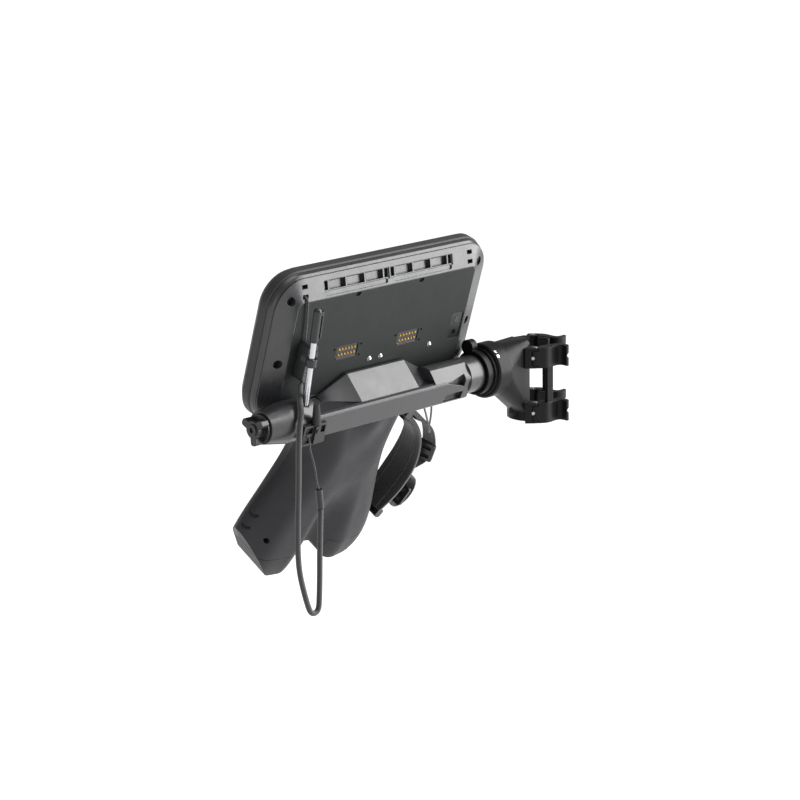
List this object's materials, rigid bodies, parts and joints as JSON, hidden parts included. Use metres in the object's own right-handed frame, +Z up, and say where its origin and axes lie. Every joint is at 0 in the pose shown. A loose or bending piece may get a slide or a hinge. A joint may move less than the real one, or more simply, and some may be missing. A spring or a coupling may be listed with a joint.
{
  "type": "data collector",
  "caption": "Rugged field tablet with a palm grip, lobes for battery packs, a hand strap and a tethered stylus, hung by a tilting quick-release bracket with a sprung clamp for a surveying pole.",
  "frame": {"origin": "on the axis of the pole the clamp grips, at the middle of the clamp height", "axes": "+Z up along the pole axis; +X along the bracket tilt axis from the pole towards the tablet; the screen faces -Y and upwards"},
  "size_m": [0.3284, 0.1526, 0.2602],
  "materials": {
    "accent_key": "matte",
    "bezel": "satin",
    "black": "satin",
    "board": "matte",
    "bracket": "satin",
    "bumper": "matte",
    "camera_glass": "gloss",
    "clamp": "satin",
    "cord": "braided",
    "dark_screw": "satin",
    "display": "gloss",
    "glass": "gloss",
    "gold": "polished",
    "housing": "satin",
    "keys": "matte",
    "pack": "matte",
    "pad_rubber": "matte",
    "padding": "soft",
    "panel": "matte",
    "pin_steel": "satin",
    "steel": "polished",
    "stylus_barrel": "gloss",
    "webbing": "woven"
  },
  "bodies": {
    "clamp": {"clamp_body": "clamp", "pole_liners": "pad_rubber", "jaw_pins": "pin_steel", "collar_screws": "steel", "tilt_axle": "pin_steel"},
    "jaw_front": {"jaw_front": "clamp", "jaw_pads_front": "pad_rubber", "jaw_screws_front": "pin_steel"},
    "jaw_rear": {"jaw_rear": "clamp", "jaw_pads_rear": "pad_rubber", "jaw_screws_rear": "pin_steel"},
    "tilt_ring": {"tilt_ring": "clamp"},
    "release_knob": {"release_knob": "black", "release_screw": "pin_steel"},
    "battery_left": {"battery_cap_left": "housing", "battery_pack_left": "pack"},
    "battery_right": {"battery_cap_right": "housing", "battery_pack_right": "pack"},
    "stylus": {"stylus_barrel": "stylus_barrel", "stylus_cap": "black", "stylus_clip": "black"},
    "navigation_pad": {"navigation_pad": "keys"},
    "enter_key": {"enter_key": "accent_key"},
    "power_key": {"power_key": "keys"},
    "function_key_left": {"function_key_left": "keys"},
    "function_key_right": {"function_key_right": "keys"},
    "menu_key_left": {"menu_key_left": "keys"},
    "menu_key_right": {"menu_key_right": "keys"},
    "tablet": {"alpha_keys": "keys", "camera_lenses": "glass", "camera_window": "camera_glass", "connector_bases": "black", "connector_pins": "gold", "cradle_beam": "bracket", "cradle_pad": "pad_rubber", "display_panel": "display", "edge_bumper": "bumper", "front_bezel": "bezel", "grip_rear_shell": "housing", "housing_screws": "dark_screw", "keypad_plate": "bezel", "lanyard_dock": "bracket", "main_board": "board", "mid_frame": "housing", "panel_studs": "steel", "rear_cover": "housing", "rear_panel": "panel", "slot_lanyard": "cord", "strap_anchors": "black", "strap_buckle_lower": "black", "strap_buckle_upper": "black", "strap_pad": "padding", "strap_webbing": "webbing", "stylus_clasp": "black", "tether_anchor": "black", "tether_boot": "pad_rubber", "tether_cord": "cord", "tether_ferrule": "black", "tether_line": "cord", "touch_glass": "glass"}
  },
  "joints": [
    {"name": "jaw_front_open", "type": "hinge", "parent": "clamp", "child": "jaw_front", "pos_m": [0.01513, 0.01655, 0], "axis": [0, 0, -1], "range_deg": [0, 32], "stiffness_Nm_per_rad": 0.25, "springref_deg": -6.88},
    {"name": "jaw_rear_open", "type": "hinge", "parent": "clamp", "child": "jaw_rear", "pos_m": [-0.01655, -0.01513, 0], "axis": [0, 0, 1], "range_deg": [0, 32], "stiffness_Nm_per_rad": 0.25, "springref_deg": -6.88},
    {"name": "tilt", "type": "hinge", "parent": "clamp", "child": "tablet", "pos_m": [0.08, 0, 0.0167], "axis": [1, 0, 0], "range_deg": [-35, 45]},
    {"name": "tilt_ring_turn", "type": "hinge", "parent": "tablet", "child": "tilt_ring", "pos_m": [0.0653, 0, 0.0167], "axis": [1, 0, 0], "range_deg": [-16, 0]},
    {"name": "release_turn", "type": "hinge", "parent": "tablet", "child": "release_knob", "pos_m": [0.293, 0, 0.0167], "axis": [1, 0, 0], "continuous": true},
    {"name": "battery_left_slide", "type": "slide", "parent": "tablet", "child": "battery_left", "axis": [0, -0.515, -0.8572], "range_m": [0, 0.075]},
    {"name": "battery_right_slide", "type": "slide", "parent": "tablet", "child": "battery_right", "axis": [0, -0.515, -0.8572], "range_m": [0, 0.075]},
    {"name": "stylus_slide", "type": "slide", "parent": "tablet", "child": "stylus", "axis": [0.0972, 0.3076, 0.9465], "range_m": [0, 0.095]},
    {"name": "navigation_pad_press", "type": "slide", "parent": "tablet", "child": "navigation_pad", "axis": [0, 0.8572, -0.515], "range_m": [0, 0.0008], "stiffness_N_per_m": 400, "springref_m": -0.001},
    {"name": "enter_key_press", "type": "slide", "parent": "tablet", "child": "enter_key", "axis": [0, 0.8572, -0.515], "range_m": [0, 0.0008], "stiffness_N_per_m": 400, "springref_m": -0.001},
    {"name": "function_key_left_press", "type": "slide", "parent": "tablet", "child": "function_key_left", "axis": [0, 0.8572, -0.515], "range_m": [0, 0.0008], "stiffness_N_per_m": 400, "springref_m": -0.001},
    {"name": "function_key_right_press", "type": "slide", "parent": "tablet", "child": "function_key_right", "axis": [0, 0.8572, -0.515], "range_m": [0, 0.0008], "stiffness_N_per_m": 400, "springref_m": -0.001},
    {"name": "menu_key_left_press", "type": "slide", "parent": "tablet", "child": "menu_key_left", "axis": [0, 0.8572, -0.515], "range_m": [0, 0.0008], "stiffness_N_per_m": 400, "springref_m": -0.001},
    {"name": "menu_key_right_press", "type": "slide", "parent": "tablet", "child": "menu_key_right", "axis": [0, 0.8572, -0.515], "range_m": [0, 0.0008], "stiffness_N_per_m": 400, "springref_m": -0.001},
    {"name": "power_key_press", "type": "slide", "parent": "tablet", "child": "power_key", "axis": [0, 0.9511, -0.309], "range_m": [0, 0.0008], "stiffness_N_per_m": 400, "springref_m": -0.001}
  ]
}
